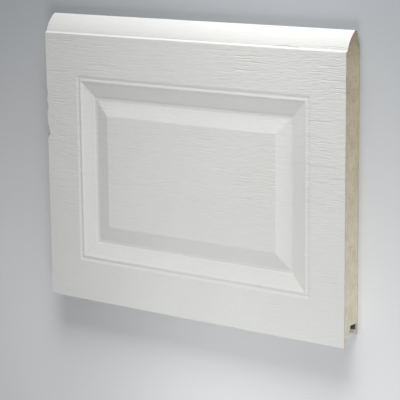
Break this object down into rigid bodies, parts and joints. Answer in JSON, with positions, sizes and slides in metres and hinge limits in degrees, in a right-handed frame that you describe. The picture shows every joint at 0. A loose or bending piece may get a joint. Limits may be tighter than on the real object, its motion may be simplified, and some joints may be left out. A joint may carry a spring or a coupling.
{
  "type": "sectional garage door panel",
  "caption": "Cut length of an insulated sectional garage door panel: white wood-grain steel outer skin with a pressed cassette, foam core, steel inner skin, finger-safe tongue and groove.",
  "frame": {"origin": "on the floor under the middle of the panel, which lies on its back skin", "axes": "+X along the door's width, +Y up the panel from the lip to the tongue, +Z out of the outer face"},
  "size_m": [0.655, 0.534, 0.042],
  "materials": {
    "outer_paint": "satin white paint on steel sheet embossed with wood grain",
    "foam": "sawn rigid polyurethane foam, fine open cells",
    "inner_paint": "satin off-white paint on smooth steel sheet"
  },
  "bodies": {
    "root": {"outer_skin": "outer_paint", "foam_core": "foam", "inner_skin": "inner_paint"}
  },
  "joints": []
}
